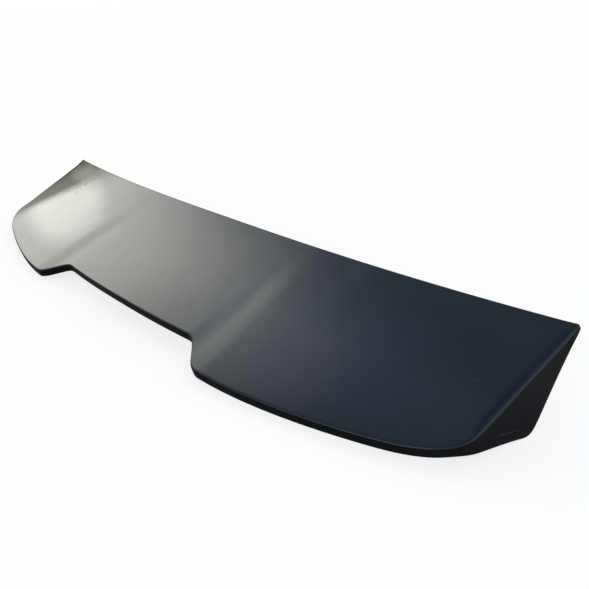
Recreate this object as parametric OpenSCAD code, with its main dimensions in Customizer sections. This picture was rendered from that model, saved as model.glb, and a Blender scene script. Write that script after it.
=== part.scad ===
/* [Span and leading edge] */
// Width across the two leading corners
span = 1200; // [1000:10:1400]
// How far the middle of the leading edge lies behind its corners
front_bow = 33; // [10:1:50]
// How far the middle of the leading edge stands above its corners
front_crown = 12; // [4:0.5:25]

/* [Rear edge] */
// Distance from the leading corners back to the middle of the recess
recess_back = 264; // [240:1:300]
// How far the recess's edge comes forward from its middle to its steps
recess_bow = 8; // [0:0.5:14]
// Half width of the recess, where each step starts
step_in = 178; // [140:1:210]
// Half width at which each step ends and the lobe begins
step_out = 240; // [225:1:300]
// Distance from the leading corners back to the lobes
lobe_back = 294; // [275:1:330]
// How far the lobe's edge sweeps forward from the step to the end of the span
lobe_sweep = 89; // [60:1:100]
// Length of span taken up by the rounded outer corner
corner_len = 105; // [80:1:140]
// How far the rear edge hangs down at the ends of the span
end_drop = 40; // [20:1:55]
// How far the lobes stand proud of the middle
lobe_swell = 1.4; // [0:0.1:4]
// Half width of the flat middle between the two swells, at the recess
swell_in = 212; // [190:1:220]
// Half width at which the swell is full, at the recess
swell_out = 256; // [240:1:320]
// How much nearer to the middle the swells lie at the leading edge than at the recess
swell_drift = 26; // [0:1:40]
// Depth of the shallow dip beside each step
step_dip = 0.6; // [0:0.1:1]

/* [Fold and side faces] */
// Distance from the leading corner back to the end of the fold
fold_back = 177; // [150:1:195]
// How far the fold's rear end lies inside the leading corner
fold_taper = 16.5; // [5:0.5:30]
// How far the fold's rounding reaches in over the skin
fold_reach = 15; // [6:0.5:20]
// How far the fold's rounding reaches down the side face
fold_round = 7; // [3:0.5:8]
// Distance from the leading corner back to the foot of the side face
foot_back = 109; // [95:1:125]
// Depth of the foot below the leading corner, before its rounding
foot_drop = 81; // [65:1:95]
// Distance from the leading corner back to where the side face has run out
side_back = 205; // [195:1:235]
// Angle by which the side face leans outwards
side_lean = 9.5; // [0:0.5:14]
// How far the lip at the bottom of the side face stands proud of it
lip_proud = 2.2; // [0:0.1:3]

/* [Wall] */
// Thickness of the skin
skin = 3.5; // [2.5:0.1:5]
// Thickness of the turned-down rim and the side faces
rim = 4; // [3:0.1:5]
// Height of the rim along the rear edge
rim_depth = 13.4; // [11:0.1:20]
// Rounding between the skin and the rear rim
rim_round = 3; // [1:0.1:3.5]
// Depth of the side face at the leading corner
corner_depth = 5.5; // [5:0.1:9]
// Roundness of the thin front and bottom edges
edge_nose = 1; // [0.4:0.1:1.6]

/* [Hidden] */

// Exponents of the leading edge's bow, the ends' fall and the lobe's sweep
bow_pow = 2.2;
fall_pow = 1.5;
sweep_pow = 1.56;
// Exponents of the side face's front edge and of its rear edge
toe_pow = 1.12;
heel_pow = 1.2;
// Share of the way to the recess over which the swells grow to their full height
swell_share = 0.62;
// How far the dip's middle lies outside the step, its half width, and how late it sets in
dip_out = 25;
dip_half = 26;
dip_pow = 4;
// How far the leading corner is taken in, and the length over which that is done
corner_trim = 1;
corner_run = 4;
// Rounding of the foot, and the lengths over which the lip of the side face starts
foot_blend = 12;
lip_start = 25;
lip_run = 45;
// Length from the leading corner over which the fold's rounding grows
fold_start = 20;
// Inner rounding under the skin, and the largest share of the depth that it takes
inner_round = 2;
inner_share = 0.3;
// Least height of the lip, and the largest share of the depth that it takes
lip_least = 1;
lip_share = 0.4;
// Height of the slope above the lip, and the largest share of the face above that it takes
lip_rise = 2.5;
rise_share = 0.3;

// Number of rows before the foot, round it and behind it, and round the outer corner
toe_rows = 7;
foot_rows = 8;
heel_rows = 5;
bend_rows = 4;
// Length along the fold, before and behind the foot, that has the close rows
foot_zone = 16;
// Number of columns along each stretch of the rear edge
mid_cols = 6;
step_cols = 14;
lobe_cols = 9;
bend_cols = 5;
// How far the close columns of a step reach beyond it at each end
step_margin = 13;
// Rows down the rim: those round its edge, then the slope above the lip, the lip and the bottom
round_rows = 5;
drop_rows = round_rows + 3;

half = span / 2;
corner_x = half - corner_len;
lean = tan(side_lean);

function ease(t) = let (c = max(0, min(1, t))) c * c * (3 - 2 * c);
function mix(a, b, t) = a * (1 - t) + b * t;
function smooth_max(a, b, k) = let (g = max(0, k - abs(a - b))) max(a, b) + g * g / (4 * k);

// Height of the swell and depth of the dip, at x and a share v of the way to the recess
function swell_height(x, v) =
    let (x_full = abs(x) + swell_drift * (1 - v))
    lobe_swell * ease(v / swell_share) * ease((x_full - swell_in) / (swell_out - swell_in));
function dip_depth(x, v) =
    let (t = min(1, abs(abs(x) - step_in - dip_out) / dip_half))
    step_dip * pow(max(0, min(1, v)), dip_pow) * pow(1 - t * t, 2);

// The skin's height over the plane through the leading corners, at x and a distance d behind them
function skin_height(x, d) =
    let (u = abs(x) / half, v = d / recess_back)
    front_crown * (1 - u * u) * (1 - v) - end_drop * pow(u, fall_pow) * v + swell_height(x, v) - dip_depth(x, v);

// How far the leading edge and the rear edge lie behind the leading corners, at x
function front_at(x) = front_bow * (1 - pow(abs(x) / half, bow_pow));
function recess_at(x) = recess_back - recess_bow * pow(abs(x) / step_in, 2);
function lobe_at(x) =
    lobe_back - lobe_sweep * pow(max(0, abs(x) - step_out) / (half - step_out), sweep_pow);
function rear_at(x) =
    mix(recess_at(x), lobe_at(x), ease((abs(x) - step_in) / (step_out - step_in)));

// The rounded outer corner is a quadratic curve from the rear edge to the end of the fold
bend_start = [corner_x, rear_at(corner_x)];
bend_end = [half - fold_taper, fold_back];
bend_slope = rear_at(corner_x + 0.5) - rear_at(corner_x - 0.5);
fold_slope = -fold_taper / fold_back;
bend_reach =
    (bend_end.x - bend_start.x - fold_slope * (bend_end.y - bend_start.y)) / (1 - fold_slope * bend_slope);
bend_knee = bend_start + bend_reach * [1, bend_slope];
function bend(u) = pow(1 - u, 2) * bend_start + 2 * u * (1 - u) * bend_knee + u * u * bend_end;

// The edge's plan on the right half, from the leading corner along the fold and the rear edge to the middle
fold_stops = [
    0,
    for (j = [0 : toe_rows - 1]) mix(corner_run, foot_back - foot_zone, j / toe_rows),
    for (j = [0 : foot_rows]) foot_back + foot_zone * (2 * j / foot_rows - 1),
    for (j = [1 : heel_rows]) mix(foot_back + foot_zone, fold_back, j / heel_rows)
];
side_plan = [
    for (d = fold_stops) [half + fold_slope * d - (d > 0 ? 0 : corner_trim), d],
    for (j = [1 : bend_rows]) bend(1 - 0.5 * j / bend_rows)
];
step_start = step_in - step_margin;
step_end = step_out + step_margin;
rear_plan = [
    for (i = [1 : bend_cols]) bend(0.5 - 0.5 * i / bend_cols),
    for (i = [1 : lobe_cols]) let (x = mix(corner_x, step_end, i / lobe_cols)) [x, rear_at(x)],
    for (i = [1 : step_cols]) let (x = mix(step_end, step_start, i / step_cols)) [x, rear_at(x)],
    for (i = [1 : mid_cols]) let (x = mix(step_start, 0, i / mid_cols)) [x, rear_at(x)]
];
half_plan = concat(side_plan, rear_plan);
rows = len(side_plan) - 1;
cols = 2 * len(rear_plan);
last = 2 * rows + cols;
edge_plan = [
    for (m = [0 : last]) m <= last / 2 ? half_plan[m] : let (p = half_plan[last - m]) [-p.x, p.y]
];

// Outward direction of the edge in plan
function edge_out(m) =
    let (t = edge_plan[min(m + 1, last)] - edge_plan[max(m - 1, 0)], n = [t.y, -t.x])
    m == 0 ? [1, 0] : m == last ? [-1, 0] : n / norm(n);

// Depth of the rim and the side face below the edge
foot_extra = foot_drop - rim_depth + skin_height(half + fold_slope * foot_back, foot_back);
function depth_at(p) =
    let (
        top = skin_height(p.x, p.y),
        rise = pow(max(0, (side_back - p.y) / (side_back - foot_back)), heel_pow),
        front_line = -corner_depth - (foot_drop - corner_depth) * pow(p.y / foot_back, toe_pow),
        rear_line = top - rim_depth - foot_extra * rise
    )
    top - smooth_max(front_line, rear_line, foot_blend);

// Share of a side face's own form at a distance d: none along the rear edge
function side_share(d) = 1 - ease((d - fold_back + lip_start) / lip_run);

// The rounding of the edge at m: the rim's, or the larger one of the fold
function edge_round(m, d, fold) =
    abs(edge_plan[m].x) < corner_x ? rim_round : mix(rim_round, fold, ease(d / fold_start) * side_share(d));

// Points down the edge at m, for the outer face (in = 0) or for the inner face
function drop_points(m, in) =
    let (
        p = edge_plan[m],
        n = edge_out(m),
        depth = depth_at(p),
        lip_w = rim_depth * ease((p.y - foot_back + lip_start) / lip_run),
        strip = max(lip_least, min(lip_w, lip_share * (depth - skin))),
        lean_out = lean * side_share(p.y) * (depth - strip),
        hidden = in > 0,
        r_in = min(inner_round, inner_share * (depth - skin)),
        reach_out = edge_round(m, p.y, fold_reach),
        reach = hidden ? max(r_in, reach_out - in) : reach_out,
        r = hidden ? r_in : edge_round(m, p.y, fold_round),
        proud = lip_proud * side_share(p.y) * lip_w / rim_depth,
        under = hidden ? skin : 0,
        q = p - n * in,
        a = q - n * reach,
        top_q = skin_height(q.x, q.y) - under,
        top_a = skin_height(a.x, a.y) - under,
        top_p = skin_height(p.x, p.y),
        start = [a.x, a.y, top_a],
        knee = [q.x, q.y, top_q],
        end = [q.x, q.y, top_q - r],
        low = q + n * lean_out,
        above = low - n * proud,
        lip_z = top_p - depth + strip
    )
    concat(
        [
            for (k = [0 : round_rows])
                let (u = k / round_rows)
                pow(1 - u, 2) * start + 2 * u * (1 - u) * knee + u * u * end
        ],
        [
            [above.x, above.y, lip_z + min(lip_rise, rise_share * (end.z - lip_z))],
            [low.x, low.y, lip_z],
            [low.x, low.y, top_p - depth]
        ]
    );

// One face of the shell: a patch of rows and columns, and the drop round three of its sides
function face_points(in) =
    let (
        drops = [for (m = [0 : last]) drop_points(m, in)],
        under = in > 0 ? skin : 0,
        side_x = edge_plan[rows].x,
        back = [for (j = [0 : rows]) side_plan[j].y / side_plan[rows].y]
    )
    concat(
        [
            for (i = [0 : cols], j = [0 : rows])
                i == 0 ? drops[j][0]
                : i == cols ? drops[last - j][0]
                : let (
                    rear = drops[rows + i][0],
                    front_x = drops[0][0].x * edge_plan[rows + i].x / side_x,
                    x = mix(front_x, rear.x, back[j]),
                    d = mix(front_at(front_x), rear.y, back[j])
                )
                j == rows ? rear : [x, d, skin_height(x, d) - under]
        ],
        [for (m = [0 : last], k = [1 : drop_rows]) drops[m][k]]
    );

patch_count = (cols + 1) * (rows + 1);
face_count = patch_count + (last + 1) * drop_rows;
function patch_id(i, j) = i * (rows + 1) + j;
function drop_id(m, k) =
    k > 0 ? patch_count + m * drop_rows + k - 1
    : m <= rows ? patch_id(0, m)
    : m <= rows + cols ? patch_id(m - rows, rows)
    : patch_id(cols, last - m);

// The open edge of one face, once round: along the bottom, then back along the front
rim_loop = concat(
    [for (m = [0 : last]) drop_id(m, drop_rows)],
    [for (k = [drop_rows - 1 : -1 : 1]) drop_id(last, k)],
    [for (i = [cols : -1 : 0]) patch_id(i, 0)],
    [for (k = [1 : drop_rows - 1]) drop_id(0, k)]
);
loop_count = len(rim_loop);

outer = face_points(0);
inner = face_points(rim);

// The middle of the thin edge stands out a little, forwards along the front and downwards along the bottom
nose = [
    for (i = [0 : loop_count - 1])
        let (
            a = outer[rim_loop[i]],
            b = inner[rim_loop[i]],
            front = i > last,
            out = front ? [0, -1, 0] : [0, 0, -1]
        )
        (a + b) / 2 + edge_nose * out
];

// Two triangles for the quad a, b, c, d, cut from a to c or, on the mirrored half, from b to d
function quad(a, b, c, d, mirrored = false) = mirrored ? [[b, d, c], [b, a, d]] : [[a, c, b], [a, d, c]];
face_tris = [
    for (i = [0 : cols - 1], j = [0 : rows - 1])
        each quad(patch_id(i, j), patch_id(i + 1, j), patch_id(i + 1, j + 1), patch_id(i, j + 1), i >= cols / 2),
    for (m = [0 : last - 1], k = [0 : drop_rows - 1])
        each quad(drop_id(m, k), drop_id(m + 1, k), drop_id(m + 1, k + 1), drop_id(m, k + 1), m >= last / 2)
];
shell_faces = concat(
    face_tris,
    [for (t = face_tris) [t[2], t[1], t[0]] + [1, 1, 1] * face_count],
    [
        for (i = [0 : loop_count - 1])
            let (
                j = (i + 1) % loop_count,
                o = [rim_loop[i], rim_loop[j]],
                n = [2 * face_count + i, 2 * face_count + j],
                b = o + [1, 1] * face_count
            )
            each concat(quad(o[0], o[1], n[1], n[0]), quad(n[0], n[1], b[1], b[0]))
    ]
);

// At rest the part stands on its two feet and on the lowest stretch of the rear rim
shell_points = concat(outer, inner, nose);
side_low = min([for (m = [0 : rows]) nose[m].z]);
foot = [for (m = [0 : rows]) if (nose[m].z == side_low) nose[m]][0];
rest_tilt = min([
    for (m = [rows : last / 2]) atan2(nose[m].z - foot.z, nose[m].y - foot.y)
]);
function at_rest(p) =
    [p.x, -p.y * cos(rest_tilt) - p.z * sin(rest_tilt), p.z * cos(rest_tilt) - p.y * sin(rest_tilt)];
rest_points = [for (p = shell_points) at_rest(p)];
lowest = min([for (p = rest_points) p.z]);
middle = (max([for (p = rest_points) p.y]) + min([for (p = rest_points) p.y])) / 2;

module spoiler() {
    color([0.03, 0.03, 0.035])
        translate([0, -middle, -lowest])
            polyhedron(points = rest_points, faces = shell_faces, convexity = 6);
}

spoiler();
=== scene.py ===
"""A moulded roof spoiler in satin-gloss black plastic, standing on a white studio floor."""

import math

import bmesh
import bpy
from mathutils import Matrix, Vector


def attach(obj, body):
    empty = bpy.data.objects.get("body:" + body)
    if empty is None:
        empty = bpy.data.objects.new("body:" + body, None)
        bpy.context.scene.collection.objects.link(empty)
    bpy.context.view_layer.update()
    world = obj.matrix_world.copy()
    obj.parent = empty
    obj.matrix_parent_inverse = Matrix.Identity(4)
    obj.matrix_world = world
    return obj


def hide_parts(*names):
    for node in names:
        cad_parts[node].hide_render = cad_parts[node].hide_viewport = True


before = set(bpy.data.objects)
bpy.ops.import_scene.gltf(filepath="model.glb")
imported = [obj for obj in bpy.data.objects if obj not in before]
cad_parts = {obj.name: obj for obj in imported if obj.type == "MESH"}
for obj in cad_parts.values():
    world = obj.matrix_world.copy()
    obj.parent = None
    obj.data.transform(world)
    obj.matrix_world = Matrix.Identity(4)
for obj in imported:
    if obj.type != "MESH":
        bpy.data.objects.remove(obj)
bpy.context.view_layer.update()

# Camera, fitted to the outline of the part: its place in metres, the direction ahead, its roll,
# its sensor's width and focal length in millimetres, and how far it sees in metres
CAMERA_PLACE = Vector((0.8591, -0.5175, 0.4533))
CAMERA_AHEAD = Vector((-0.6736, 0.6040, -0.4259))
CAMERA_ROLL = math.radians(-2.1)
SENSOR_WIDTH = 36.0
LENS = 39.73
CLIP_END = 200.0

# The moulding's mesh: how near to each other two points count as one, and the largest bend
# and skew at which two triangles become a quad
MERGE_DISTANCE = 1e-6
QUAD_BEND = math.radians(50)
QUAD_SKEW = math.radians(180)
# The angle between faces from which an edge is creased, and how sharply: on the lip, and on open edges
LIP_CREASE = (math.radians(36), 0.305)
EDGE_CREASE = (math.radians(48), 0.4)
SUBDIVISIONS = 2

# Finish of the plastic: its colour and roughness where it is clean and where it is hazed
PLASTIC_IOR = 1.5
BLACK = (0.006, 0.0062, 0.007, 1)
HAZED_BLACK = (0.0085, 0.009, 0.0105, 1)
CLEAN_ROUGHNESS = 0.06
HAZED_ROUGHNESS = 0.14

# Each pattern on the plastic is a noise: its waves to the metre, and its detail, roughness and distortion.
# Smudges of haze, and the noise's values at which the haze sets in and is full
SMUDGE_WAVES = 11.0
SMUDGE_NOISE = (4, 0.5, 0.6)
SMUDGE_VALUES = (0.42, 0.72)
# The few scuffed spots on the skin: place and size in metres, and the share of the size that is full
SCUFFS = (
    ((-0.471, 0.082, 0.089), 0.026),
    ((-0.460, 0.058, 0.079), 0.020),
    ((0.501, 0.052, 0.075), 0.008),
    ((0.546, 0.030, 0.062), 0.010),
)
SCUFF_FULL = 0.5
# Colour of a scuff, and the roughness that it adds
SCUFFED_BLACK = (0.020, 0.023, 0.029, 1)
SCUFF_ROUGHNESS = 0.35
# A scuff's short strokes: their noise and the values at which a stroke sets in and is full,
# and how they are turned in plan and drawn out
STROKE_WAVES = 260.0
STROKE_NOISE = (2, 0.5, 0.2)
STROKE_VALUES = (0.54, 0.68)
STROKE_TURN = math.radians(40)
STROKE_LENGTH = 3.0
# Waviness of the moulding: fine orange peel on broad soft waves. The height of the peel, in metres,
# is the unit for the height of the broad waves and for the depth of the scuffs
PEEL_WAVES = 90.0
PEEL_NOISE = (2, 0.45, 0)
PEEL_HEIGHT = 0.00004
PEEL_STRENGTH = 0.25
BROAD_WAVES = 16.0
BROAD_NOISE = (1, 0.5, 0)
BROAD_HEIGHT = 36.0
SCUFF_DEPTH = 3.0

# Floor: its half width in metres, its own colour to the eye, and a painted reflection colour that the part
# mirrors in its place, darker, which turns lighter to the right, between two places along X in metres
FLOOR_HALF = 30.0
FLOOR_SEEN = (0.295, 0.25, 0.212, 1)
FLOOR_PAINTED_REFLECTION = (0.055, 0.046, 0.032, 1)
FLOOR_PAINTED_REFLECTION_RIGHT = (0.21, 0.185, 0.16, 1)
PAINTED_REFLECTION_LIGHTENS = (0.45, 0.75)
# The glow that makes the floor white to the camera, and the share of it that reflections meet
WHITE = (1, 1, 1, 1)
FLOOR_GLOW = 0.79
GLOW_IN_REFLECTIONS = 0.05

# The lights of the surround are placed by direction: heights and places to the right are those of a
# direction of length 1, and bearings turn from +X towards +Y.
# Cool fill: dimmer below a height, and deeper in colour to the right
FILL_COLOUR = (0.35, 0.455, 0.63, 1)
FILL_RIGHT = (0.20, 0.36, 0.60, 1)
FILL_DEEPENS = (-0.3, 0.2)
FILL_STRENGTH = 0.85
FILL_LOW = 0.2
FILL_FULL_HEIGHT = 0.33

# Bright soft wall beyond the left end: its bearing, the angles aside from it at which its light ends
# and is full, its strength, and the share of that which is left all round
WALL_BEARING = math.radians(173.5)
WALL_EDGES = (math.radians(20), math.radians(2))
WALL_STRENGTH = 4.0
WALL_REST = 0.10
WALL_WARM = (1.0, 0.98, 0.85)
WALL_COOL = (0.55, 0.75, 1.0)
# Brightness of the wall by elevation in degrees, and whether it is warm (0) or cool (1) there
WALL_STOPS = (
    (0, 0.06, 0),
    (10, 0.34, 0),
    (17, 0.70, 0),
    (27, 0.69, 0),
    (38, 0.78, 0),
    (45, 0.56, 0.15),
    (52, 0.29, 0.7),
    (60, 0.13, 1),
    (68, 0.06, 1),
    (90, 0.02, 1),
)

# Two dimmer screens, before and behind the part: bearing and strength of each
SCREENS = ((math.radians(88), 1.6), (math.radians(270), 0.7))
SCREEN_EDGES = (math.radians(30), math.radians(8))
SCREEN_COLOUR = (0.9, 0.95, 1.0)
# Brightness of the screens by elevation in degrees; they have one colour from top to bottom
SCREEN_STOPS = ((0, 0, 0), (8, 0.25, 0), (22, 1, 0), (46, 1, 0), (62, 0, 0), (90, 0, 0))

# Soft light from the right, and the places to the right between which it comes up
SIDE_COLOUR = (0.85, 0.92, 1.0, 1)
SIDE_STRENGTH = 0.36
SIDE_EDGES = (0.1, 0.9)

# Faint warm light high beyond the left end: where it is, and the angles at which it ends and is full
WARM_BEARING = math.radians(180)
WARM_ELEVATION = math.radians(53)
WARM_EDGES = (math.radians(10), math.radians(3))
WARM_COLOUR = (1, 0.6, 0.35, 1)
WARM_STRENGTH = 0.3

# Card beyond the left end, met only by reflections. On it are a bright soft patch and, below a
# slanting edge, a dim part with a lighter spot, the glint. Places and half sizes are in metres
CARD_X = -0.70
CARD_HALF = 0.5
# Share of a soft spot's size within which it is full
SPOT_FULL = 0.45
PATCH_PLACE = (CARD_X, 0.0425, 0.173)
PATCH_SLOPE = math.radians(42.7)
PATCH_SIZE = (1, 0.138, 0.100)
PATCH_STRENGTH = 1.34
PATCH_COLOUR = (1, 1, 0.9, 1)
DIM_PLACE = (CARD_X, -0.033, 0.0724)
DIM_SLOPE = math.radians(36)
DIM_COLOUR = (1, 1, 0.84, 1)
DIM_STRENGTH = 1.06
# The slanting edge's softness at its two ends, and the places along it between which that changes
DIM_EDGES = (0.008, 0.035)
DIM_ALONG = (0.16, 0.25)
# Places below the edge between which the dim part fades, and the share that is left at the lower one
DIM_FADE = (-0.058, -0.012)
DIM_LOW = 0.12
GLINT_PLACE = (CARD_X, 0.140, 0.150)
GLINT_SIZE = (0.045, 0.045, 0.045)
GLINT_STRENGTH = 0.75


def feed(tree, given, socket):
    """Gives a socket either another node's output or a plain value."""
    if isinstance(given, bpy.types.NodeSocket):
        tree.links.new(given, socket)
    else:
        socket.default_value = given


def worked_out(tree, operation, *given):
    """What a sum gives, by the name of its operation and from outputs or numbers."""
    node = tree.nodes.new("ShaderNodeMath")
    node.operation = operation
    for number, socket in zip(given, node.inputs):
        feed(tree, number, socket)
    return node.outputs[0]


def passage(tree, value, ends, levels=(0, 1), soft=True):
    """A value's way from one end to the other, as the way from the first level to the second."""
    node = tree.nodes.new("ShaderNodeMapRange")
    node.interpolation_type = "SMOOTHSTEP" if soft else "LINEAR"
    for name, number in zip(("From Min", "From Max", "To Min", "To Max"), (*ends, *levels)):
        node.inputs[name].default_value = number
    tree.links.new(value, node.inputs["Value"])
    return node.outputs["Result"]


def blended(tree, share, first, last):
    """The first colour, giving way to the last by a share."""
    node = tree.nodes.new("ShaderNodeMix")
    node.data_type = "RGBA"
    feed(tree, first, node.inputs["A"])
    feed(tree, last, node.inputs["B"])
    tree.links.new(share, node.inputs["Factor"])
    return node.outputs["Result"]


def parts_of(tree, vector):
    """The X, Y and Z of a vector, as outputs by name."""
    node = tree.nodes.new("ShaderNodeSeparateXYZ")
    tree.links.new(vector, node.inputs[0])
    return node.outputs


def measured_from(tree, coordinates, place, turn, size):
    """Coordinates measured from a place, along turned axes and in units of a size."""
    node = tree.nodes.new("ShaderNodeMapping")
    node.vector_type = "TEXTURE"
    node.inputs["Location"].default_value = place
    node.inputs["Rotation"].default_value = turn
    node.inputs["Scale"].default_value = size
    tree.links.new(coordinates, node.inputs["Vector"])
    return node.outputs["Vector"]


def noise(tree, coordinates, waves, kind):
    """A noise's value, from its waves to the metre and its detail, roughness and distortion."""
    node = tree.nodes.new("ShaderNodeTexNoise")
    tree.links.new(coordinates, node.inputs["Vector"])
    feed(tree, waves, node.inputs["Scale"])
    for name, number in zip(("Detail", "Roughness", "Distortion"), kind):
        node.inputs[name].default_value = number
    return node.outputs["Fac"]


def shining(tree, kind, colour, strength):
    """A shader that shines, an Emission or a Background, by its colour and strength."""
    node = tree.nodes.new(kind)
    feed(tree, colour, node.inputs["Color"])
    feed(tree, strength, node.inputs["Strength"])
    return node.outputs[0]


def added(tree, shaders):
    """Several shaders as one."""
    total = shaders[0]
    for shader in shaders[1:]:
        node = tree.nodes.new("ShaderNodeAddShader")
        tree.links.new(total, node.inputs[0])
        tree.links.new(shader, node.inputs[1])
        total = node.outputs[0]
    return total


def giving_way(tree, share, first, last):
    """The first shader, giving way to the last by a share."""
    node = tree.nodes.new("ShaderNodeMixShader")
    for given, socket in zip((share, first, last), node.inputs):
        tree.links.new(given, socket)
    return node.outputs[0]


def node_group(name, inputs, outputs):
    """A shader node group with its sockets: (socket name, socket type, default) for each input."""
    group = bpy.data.node_groups.new(name, "ShaderNodeTree")
    for socket_name, kind, default in inputs:
        socket = group.interface.new_socket(socket_name, in_out="INPUT", socket_type=kind)
        if default is not None:
            socket.default_value = default
    for socket_name, kind in outputs:
        group.interface.new_socket(socket_name, in_out="OUTPUT", socket_type=kind)
    given = group.nodes.new("NodeGroupInput").outputs
    put = group.nodes.new("NodeGroupOutput").inputs
    return group, given, put


def placed_group(tree, group, coordinates):
    """A node group in a material, fed with coordinates; its outputs by name."""
    node = tree.nodes.new("ShaderNodeGroup")
    node.node_tree = group
    tree.links.new(coordinates, node.inputs["Coordinates"])
    return node.outputs


def orange_peel_group():
    """Waviness of a polished moulding as a height: fine orange peel on broad soft waves."""
    group, given, put = node_group(
        "orange peel",
        [("Coordinates", "NodeSocketVector", None), ("Peel waves", "NodeSocketFloat", PEEL_WAVES)],
        [("Height", "NodeSocketFloat")],
    )
    fine = noise(group, given["Coordinates"], given["Peel waves"], PEEL_NOISE)
    broad = noise(group, given["Coordinates"], BROAD_WAVES, BROAD_NOISE)
    group.links.new(worked_out(group, "MULTIPLY_ADD", broad, BROAD_HEIGHT, fine), put["Height"])
    return group


def scuffed_spots(tree, coordinates):
    """A mask that is full round each scuffed place on the skin."""
    nearest = 0
    for place, size in SCUFFS:
        away = tree.nodes.new("ShaderNodeVectorMath")
        away.operation = "DISTANCE"
        away.inputs[1].default_value = place
        tree.links.new(coordinates, away.inputs[0])
        spot = passage(tree, away.outputs["Value"], (size, size * SCUFF_FULL), soft=False)
        nearest = worked_out(tree, "MAXIMUM", nearest, spot)
    return nearest


def handling_group():
    """Handling marks as two masks: broad smudges of haze, and short strokes in the scuffed spots."""
    group, given, put = node_group(
        "handling marks",
        [
            ("Coordinates", "NodeSocketVector", None),
            ("Smudge waves", "NodeSocketFloat", SMUDGE_WAVES),
            ("Stroke waves", "NodeSocketFloat", STROKE_WAVES),
        ],
        [("Haze", "NodeSocketFloat"), ("Scuffs", "NodeSocketFloat")],
    )
    place = given["Coordinates"]
    smudges = noise(group, place, given["Smudge waves"], SMUDGE_NOISE)
    group.links.new(passage(group, smudges, SMUDGE_VALUES, soft=False), put["Haze"])
    along = measured_from(group, place, (0, 0, 0), (0, 0, STROKE_TURN), (STROKE_LENGTH, 1, 1))
    strokes = noise(group, along, given["Stroke waves"], STROKE_NOISE)
    marks = passage(group, strokes, STROKE_VALUES, soft=False)
    scuffs = worked_out(group, "MULTIPLY", scuffed_spots(group, place), marks)
    group.links.new(scuffs, put["Scuffs"])
    return group


def satin_black():
    """Satin-gloss black plastic: near-black body, smooth surface, faint haze and a few scuffs."""
    material = bpy.data.materials.new("satin-gloss black plastic")
    material.use_nodes = True
    tree = material.node_tree
    plastic = tree.nodes["Principled BSDF"].inputs
    plastic["IOR"].default_value = PLASTIC_IOR
    place = tree.nodes.new("ShaderNodeTexCoord").outputs["Object"]
    marks = placed_group(tree, handling_group(), place)
    peel = placed_group(tree, orange_peel_group(), place)

    hazed = blended(tree, marks["Haze"], BLACK, HAZED_BLACK)
    tree.links.new(blended(tree, marks["Scuffs"], hazed, SCUFFED_BLACK), plastic["Base Color"])

    sheen = passage(tree, marks["Haze"], (0, 1), (CLEAN_ROUGHNESS, HAZED_ROUGHNESS), soft=False)
    rubbed = worked_out(tree, "MULTIPLY_ADD", marks["Scuffs"], SCUFF_ROUGHNESS, sheen)
    tree.links.new(rubbed, plastic["Roughness"])

    bump = tree.nodes.new("ShaderNodeBump")
    bump.inputs["Strength"].default_value = PEEL_STRENGTH
    bump.inputs["Distance"].default_value = PEEL_HEIGHT
    relief = worked_out(tree, "MULTIPLY_ADD", marks["Scuffs"], -SCUFF_DEPTH, peel["Height"])
    tree.links.new(relief, bump.inputs["Height"])
    tree.links.new(bump.outputs["Normal"], plastic["Normal"])
    return material


def moulding():
    """The spoiler: the CAD node's mesh merged into quads, creased on lip and open edges, and subdivided."""
    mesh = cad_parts["spoiler"].data.copy()
    mesh.name = "spoiler_moulding"
    shell = bmesh.new()
    shell.from_mesh(mesh)
    bmesh.ops.remove_doubles(shell, verts=shell.verts, dist=MERGE_DISTANCE)
    bmesh.ops.join_triangles(
        shell,
        faces=shell.faces,
        angle_face_threshold=QUAD_BEND,
        angle_shape_threshold=QUAD_SKEW,
    )
    crease = shell.edges.layers.float.new("crease_edge")
    for edge in shell.edges:
        bend = edge.calc_face_angle(0)
        for least_angle, sharpness in (LIP_CREASE, EDGE_CREASE):
            if bend > least_angle:
                edge[crease] = sharpness
    for face in shell.faces:
        face.smooth = True
    shell.to_mesh(mesh)
    shell.free()
    mesh.materials.clear()
    mesh.materials.append(satin_black())
    piece = bpy.data.objects.new("spoiler_moulding", mesh)
    bpy.context.scene.collection.objects.link(piece)
    smooth = piece.modifiers.new("smooth", "SUBSURF")
    smooth.levels = smooth.render_levels = SUBDIVISIONS
    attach(piece, "root")
    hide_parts("spoiler")


def stage_sheet(name, half_width, turn, place, material):
    """A square flat sheet for the stage, turned about Y and moved to its place."""
    sheet = bmesh.new()
    bmesh.ops.create_grid(sheet, x_segments=1, y_segments=1, size=half_width)
    bmesh.ops.rotate(sheet, verts=sheet.verts, matrix=Matrix.Rotation(turn, 3, "Y"))
    bmesh.ops.translate(sheet, verts=sheet.verts, vec=place)
    mesh = bpy.data.meshes.new(name)
    sheet.to_mesh(mesh)
    sheet.free()
    mesh.materials.append(material)
    piece = bpy.data.objects.new(name, mesh)
    bpy.context.scene.collection.objects.link(piece)
    return piece


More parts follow.
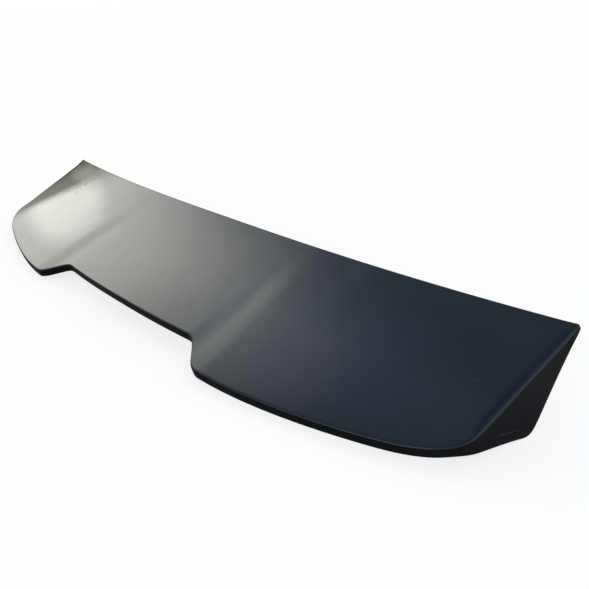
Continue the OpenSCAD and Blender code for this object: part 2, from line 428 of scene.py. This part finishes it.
def white_floor():
    """The floor's finish: white to the camera with the part's shadow on it, and in reflections a painted
    colour, darker, that turns lighter to the right.
    """
    material = bpy.data.materials.new("white floor")
    material.use_nodes = True
    tree = material.node_tree
    surface = tree.nodes["Principled BSDF"].inputs
    surface["Roughness"].default_value = 1
    surface["Specular IOR Level"].default_value = 0
    rays = tree.nodes.new("ShaderNodeLightPath").outputs
    mirrored = worked_out(tree, "MAXIMUM", rays["Is Glossy Ray"], rays["Is Transmission Ray"])

    place = parts_of(tree, tree.nodes.new("ShaderNodeTexCoord").outputs["Object"])
    # Painted reflection: reflections meet a darker floor colour than the camera sees, lighter towards the
    # part's right end
    reflection_lightening = passage(tree, place["X"], PAINTED_REFLECTION_LIGHTENS)
    painted_reflection_colour = blended(tree, reflection_lightening, FLOOR_PAINTED_REFLECTION, FLOOR_PAINTED_REFLECTION_RIGHT)
    tree.links.new(blended(tree, mirrored, FLOOR_SEEN, painted_reflection_colour), surface["Base Color"])

    share = worked_out(tree, "MULTIPLY", mirrored, GLOW_IN_REFLECTIONS)
    seen = worked_out(tree, "MAXIMUM", rays["Is Camera Ray"], share)
    surface["Emission Color"].default_value = WHITE
    tree.links.new(worked_out(tree, "MULTIPLY", seen, FLOOR_GLOW), surface["Emission Strength"])
    return material


def floor():
    """A wide level floor under the part."""
    piece = stage_sheet("studio_floor", FLOOR_HALF, 0, (0, 0, 0), white_floor())


def soft_spot(tree, coordinates, strength):
    """A round spot that is full near its middle and gone at its edge, at a distance of 1."""
    away = tree.nodes.new("ShaderNodeVectorMath")
    away.operation = "LENGTH"
    tree.links.new(coordinates, away.inputs[0])
    return passage(tree, away.outputs["Value"], (1, SPOT_FULL), (0, strength))


def bright_patch(tree, place):
    """The card above its slanting edge: a bright soft patch on a clear sheet."""
    on_patch = measured_from(tree, place, PATCH_PLACE, (PATCH_SLOPE, 0, 0), PATCH_SIZE)
    strength = soft_spot(tree, on_patch, PATCH_STRENGTH)
    patch = shining(tree, "ShaderNodeEmission", PATCH_COLOUR, strength)
    clear = tree.nodes.new("ShaderNodeBsdfTransparent").outputs[0]
    return added(tree, [patch, clear])


def dim_part(tree, place, across):
    """The card below its slanting edge: dim, with the glint on it, and fading downwards."""
    on_glint = measured_from(tree, place, GLINT_PLACE, (0, 0, 0), GLINT_SIZE)
    level = worked_out(tree, "ADD", soft_spot(tree, on_glint, GLINT_STRENGTH), DIM_STRENGTH)
    fade = passage(tree, across["Z"], DIM_FADE, (DIM_LOW, 1))
    return shining(tree, "ShaderNodeEmission", DIM_COLOUR, worked_out(tree, "MULTIPLY", level, fade))


def below_edge(tree, across):
    """A mask of the card that is full below the slanting edge, and softer along it."""
    softness = passage(tree, across["Y"], DIM_ALONG, DIM_EDGES)
    return passage(tree, worked_out(tree, "DIVIDE", across["Z"], softness), (1, -1))


def card_finish():
    """The card's finish: the bright patch, giving way to the dim part below the slanting edge."""
    material = bpy.data.materials.new("studio card")
    material.use_nodes = True
    tree = material.node_tree
    tree.nodes.remove(tree.nodes["Principled BSDF"])
    place = tree.nodes.new("ShaderNodeTexCoord").outputs["Object"]
    across = parts_of(tree, measured_from(tree, place, DIM_PLACE, (DIM_SLOPE, 0, 0), (1, 1, 1)))
    upper = bright_patch(tree, place)
    lower = dim_part(tree, place, across)
    both = giving_way(tree, below_edge(tree, across), upper, lower)
    tree.links.new(both, tree.nodes["Material Output"].inputs["Surface"])
    return material


def card():
    """The upright card beyond the left end, which the left lobe mirrors."""
    upright = math.radians(90)
    piece = stage_sheet("studio_card", CARD_HALF, upright, (CARD_X, 0, CARD_HALF), card_finish())
    piece.visible_camera = False
    piece.visible_diffuse = False
    piece.visible_shadow = False


def by_elevation(tree, height, levels, warm, cool):
    """A light's colour up its height, as a soft ramp over the sine of the elevation."""
    ramp = tree.nodes.new("ShaderNodeValToRGB")
    ramp.color_ramp.interpolation = "B_SPLINE"
    stops = ramp.color_ramp.elements
    # New stops go in between the two that are there, and are put in their places below
    while len(stops) < len(levels):
        stops.new(0.5)
    for stop, (elevation, level, coolness) in zip(stops, levels):
        stop.position = math.sin(math.radians(elevation))
        tint = [first * (1 - coolness) + last * coolness for first, last in zip(warm, cool)]
        stop.color = [level * part for part in tint] + [1]
    tree.links.new(height, ramp.inputs["Fac"])
    return ramp.outputs["Color"]


def by_bearing(tree, bearing, middle, edges, rest, strength):
    """A light's strength round the compass: full near its middle, soft at its edges."""
    turned = worked_out(tree, "COSINE", worked_out(tree, "SUBTRACT", bearing, middle))
    apart = worked_out(tree, "ARCCOSINE", turned)
    return passage(tree, apart, edges, (rest * strength, strength))


def cool_fill(tree, towards):
    """Cool light from all round, dimmer near the floor and deeper in colour to the right."""
    dimmed = (FILL_LOW * FILL_STRENGTH, FILL_STRENGTH)
    strength = passage(tree, towards["Z"], (0, FILL_FULL_HEIGHT), dimmed)
    deepened = passage(tree, towards["X"], FILL_DEEPENS)
    colour = blended(tree, deepened, FILL_COLOUR, FILL_RIGHT)
    return shining(tree, "ShaderNodeBackground", colour, strength)


def bright_wall(tree, towards, bearing):
    """The bright wall beyond the left end: warm below and cool above."""
    colour = by_elevation(tree, towards["Z"], WALL_STOPS, WALL_WARM, WALL_COOL)
    strength = by_bearing(tree, bearing, WALL_BEARING, WALL_EDGES, WALL_REST, WALL_STRENGTH)
    return shining(tree, "ShaderNodeBackground", colour, strength)


def soft_screens(tree, towards, bearing):
    """The two dimmer screens, before and behind the part."""
    colour = by_elevation(tree, towards["Z"], SCREEN_STOPS, SCREEN_COLOUR, SCREEN_COLOUR)
    screens = []
    for middle, full_strength in SCREENS:
        strength = by_bearing(tree, bearing, middle, SCREEN_EDGES, 0, full_strength)
        screens.append(shining(tree, "ShaderNodeBackground", colour, strength))
    return screens


def side_light(tree, towards):
    """The soft light from the right."""
    strength = passage(tree, towards["X"], SIDE_EDGES, (0, SIDE_STRENGTH))
    return shining(tree, "ShaderNodeBackground", SIDE_COLOUR, strength)


def warm_light(tree, direction):
    """The faint warm light high beyond the left end."""
    turn = Matrix.Rotation(WARM_BEARING, 3, "Z") @ Matrix.Rotation(-WARM_ELEVATION, 3, "Y")
    match = tree.nodes.new("ShaderNodeVectorMath")
    match.operation = "DOT_PRODUCT"
    match.inputs[1].default_value = turn @ Vector((1, 0, 0))
    tree.links.new(direction, match.inputs[0])
    ends = [math.cos(angle) for angle in WARM_EDGES]
    strength = passage(tree, match.outputs["Value"], ends, (0, WARM_STRENGTH))
    return shining(tree, "ShaderNodeBackground", WARM_COLOUR, strength)


def studio():
    """The surround: fill, wall, screens, side light and warm light; plain white to the camera."""
    world = bpy.data.worlds.new("studio surround")
    world.use_nodes = True
    tree = world.node_tree
    tree.nodes.remove(tree.nodes["Background"])
    direction = tree.nodes.new("ShaderNodeTexCoord").outputs["Generated"]
    towards = parts_of(tree, direction)
    bearing = worked_out(tree, "ARCTAN2", towards["Y"], towards["X"])
    lights = [
        cool_fill(tree, towards),
        bright_wall(tree, towards, bearing),
        *soft_screens(tree, towards, bearing),
        side_light(tree, towards),
        warm_light(tree, direction),
    ]
    white = shining(tree, "ShaderNodeBackground", WHITE, 1)
    to_camera = tree.nodes.new("ShaderNodeLightPath").outputs["Is Camera Ray"]
    seen = giving_way(tree, to_camera, added(tree, lights), white)
    tree.links.new(seen, tree.nodes["World Output"].inputs["Surface"])
    bpy.context.scene.world = world


def camera():
    """The photograph's viewpoint."""
    lens = bpy.data.cameras.new("camera")
    lens.sensor_width = SENSOR_WIDTH
    lens.lens = LENS
    lens.clip_end = CLIP_END
    holder = bpy.data.objects.new("camera", lens)
    bpy.context.scene.collection.objects.link(holder)
    turn = CAMERA_AHEAD.to_track_quat("-Z", "Y").to_matrix().to_4x4()
    roll = Matrix.Rotation(CAMERA_ROLL, 4, "Z")
    holder.matrix_world = Matrix.Translation(CAMERA_PLACE) @ turn @ roll
    bpy.context.scene.camera = holder


moulding()
floor()
card()
studio()
camera()
bpy.context.scene.view_settings.view_transform = "Standard"
